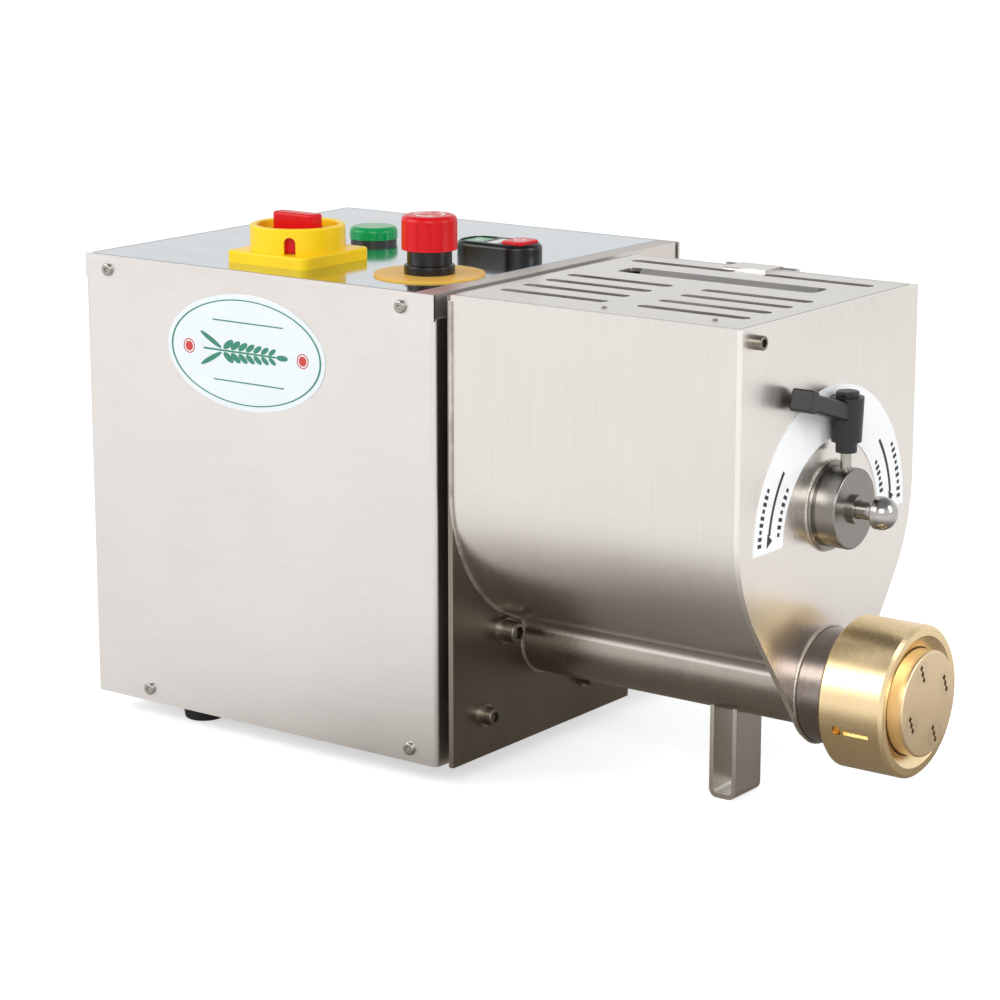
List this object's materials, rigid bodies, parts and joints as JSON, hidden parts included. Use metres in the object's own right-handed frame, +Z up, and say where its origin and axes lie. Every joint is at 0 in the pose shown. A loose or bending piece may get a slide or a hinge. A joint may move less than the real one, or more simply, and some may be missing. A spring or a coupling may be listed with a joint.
{
  "type": "electric pasta maker",
  "caption": "Table-top pasta extruder: steel drive housing with switches on top, kneading hopper with slotted lid, brass ring nut and die in front.",
  "frame": {"origin": "middle of the footprint, at the level of the feet", "axes": "+X from the housing to the die, +Y away from the labelled side, +Z up"},
  "size_m": [0.5164, 0.236, 0.2995],
  "materials": {
    "cover_steel": "satin stainless sheet, fine horizontal grain",
    "panel_steel": "polished stainless sheet with faint reflections",
    "hopper_steel": "satin rolled stainless sheet",
    "plate_steel": "satin stainless plate",
    "bright_steel": "turned and polished steel",
    "screw_steel": "plain stainless fasteners",
    "nut_brass": "turned brass, lightly polished",
    "die_bronze": "turned pale bronze",
    "yellow_plastic": "glossy moulded plastic",
    "ochre_plastic": "printed yellow disc",
    "red_plastic": "glossy moulded plastic",
    "green_plastic": "translucent green lens",
    "white_plastic": "translucent white lens",
    "black_plastic": "moulded black plastic",
    "gland_plastic": "moulded nylon",
    "foot_rubber": "moulded rubber",
    "label_film": "printed film",
    "case_iron": "painted grey casting",
    "motor_alu": "grey painted aluminium",
    "gear_steel": "cut steel gear",
    "block_plastic": "grey moulded switch block",
    "seal_rubber": "brown sealing rubber"
  },
  "bodies": {
    "housing": {"base_tray": "plate_steel", "near_side_cover": "cover_steel", "far_side_cover": "cover_steel", "rear_cover": "cover_steel", "front_bulkhead": "plate_steel", "top_panel": "panel_steel", "cover_screws": "screw_steel", "rubber_feet": "foot_rubber", "foot_fixings": "screw_steel", "cable_gland": "gland_plastic", "gland_cap": "gland_plastic", "flange_plate": "plate_steel", "flange_screws": "screw_steel", "flange_washers": "screw_steel", "hopper_shell": "hopper_steel", "extrusion_barrel": "hopper_steel", "end_plate": "hopper_steel", "end_plate_screw": "screw_steel", "strap_foot": "hopper_steel", "hinge_knuckles": "hopper_steel", "hinge_pin": "bright_steel", "hopper_brackets": "hopper_steel", "front_boss": "bright_steel", "barrel_collar": "bright_steel", "gearbox_case": "case_iron", "gearbox_cover": "case_iron", "shaft_bearings": "bright_steel", "shaft_seals": "seal_rubber", "drive_motor": "motor_alu", "run_capacitor": "block_plastic", "contactor": "block_plastic", "switch_plate": "yellow_plastic", "lamp_base": "black_plastic", "lamp_lens": "green_plastic", "contact_blocks": "block_plastic", "estop_disc": "ochre_plastic", "estop_base": "black_plastic", "twin_bezel": "black_plastic", "twin_lens": "white_plastic", "oval_label": "label_film", "direction_label": "label_film"},
    "lid": {"lid_grille": "hopper_steel"},
    "locking_pin": {"locking_pin": "bright_steel", "pin_knob": "bright_steel"},
    "clamp_stud": {"clamp_stud": "screw_steel"},
    "clamp_lever": {"clamp_lever": "black_plastic"},
    "kneader": {"kneader": "hopper_steel", "kneader_drive_shaft": "bright_steel", "kneader_gear": "gear_steel"},
    "auger": {"auger": "bright_steel", "auger_gear": "gear_steel"},
    "motor_pinion": {"motor_pinion": "gear_steel"},
    "die": {"die_body": "die_bronze", "die_inserts": "die_bronze"},
    "ring_nut": {"ring_nut": "nut_brass"},
    "main_switch_handle": {"switch_handle": "red_plastic"},
    "stop_plunger": {"estop_plunger": "red_plastic"},
    "stop_cap": {"estop_cap": "red_plastic"},
    "start_button": {"start_button": "green_plastic"},
    "stop_button": {"stop_button": "red_plastic"}
  },
  "joints": [
    {"name": "lid_hinge", "type": "hinge", "parent": "housing", "child": "lid", "pos_m": [0.10775, 0.0637, 0.2655], "axis": [-1, 0, 0], "range_deg": [0, 100]},
    {"name": "locking_pin_pull", "type": "slide", "parent": "housing", "child": "locking_pin", "axis": [1, 0, 0], "range_m": [0, 0.045]},
    {"name": "clamp_turn", "type": "hinge", "parent": "housing", "child": "clamp_stud", "pos_m": [0.20665, -0.0265, 0.165], "axis": [0, 0, 1], "range_deg": [0, 165]},
    {"name": "clamp_lift", "type": "slide", "parent": "clamp_stud", "child": "clamp_lever", "axis": [0, 0, 1], "range_m": [0, 0.0035], "stiffness_N_per_m": 300},
    {"name": "kneader_spin", "type": "hinge", "parent": "housing", "child": "kneader", "pos_m": [0.02085, -0.0265, 0.165], "axis": [1, 0, 0], "continuous": true},
    {"name": "auger_spin", "type": "hinge", "parent": "housing", "child": "auger", "pos_m": [0.02085, -0.0265, 0.07], "axis": [1, 0, 0], "continuous": true},
    {"name": "pinion_spin", "type": "hinge", "parent": "housing", "child": "motor_pinion", "pos_m": [-0.02715, 0.04633, 0.13849], "axis": [1, 0, 0], "continuous": true},
    {"name": "die_travel", "type": "slide", "parent": "housing", "child": "die", "axis": [1, 0, 0], "range_m": [0, 0.0151]},
    {"name": "ring_nut_turn", "type": "hinge", "parent": "die", "child": "ring_nut", "pos_m": [0.22765, -0.0265, 0.07], "axis": [1, 0, 0], "range_deg": [0, 1800]},
    {"name": "main_switch_turn", "type": "hinge", "parent": "housing", "child": "main_switch_handle", "pos_m": [-0.12015, -0.066, 0.267], "axis": [0, 0, 1], "range_deg": [0, 90]},
    {"name": "emergency_push", "type": "slide", "parent": "housing", "child": "stop_plunger", "axis": [0, 0, -1], "range_m": [0, 0.004], "stiffness_N_per_m": 600},
    {"name": "emergency_twist", "type": "hinge", "parent": "stop_plunger", "child": "stop_cap", "pos_m": [-0.03015, -0.064, 0.287], "axis": [0, 0, -1], "range_deg": [0, 45], "stiffness_Nm_per_rad": 0.03},
    {"name": "start_push", "type": "slide", "parent": "housing", "child": "start_button", "axis": [0, 0, -1], "range_m": [0, 0.003], "stiffness_N_per_m": 300},
    {"name": "stop_push", "type": "slide", "parent": "housing", "child": "stop_button", "axis": [0, 0, -1], "range_m": [0, 0.003], "stiffness_N_per_m": 300}
  ],
  "couplings": [
    {"joint": "auger_spin", "follows": "kneader_spin", "ratio": -1.5333},
    {"joint": "pinion_spin", "follows": "kneader_spin", "ratio": -2.875},
    {"joint": "die_travel", "follows": "ring_nut_turn", "m_per_rad": 0.00047746}
  ]
}
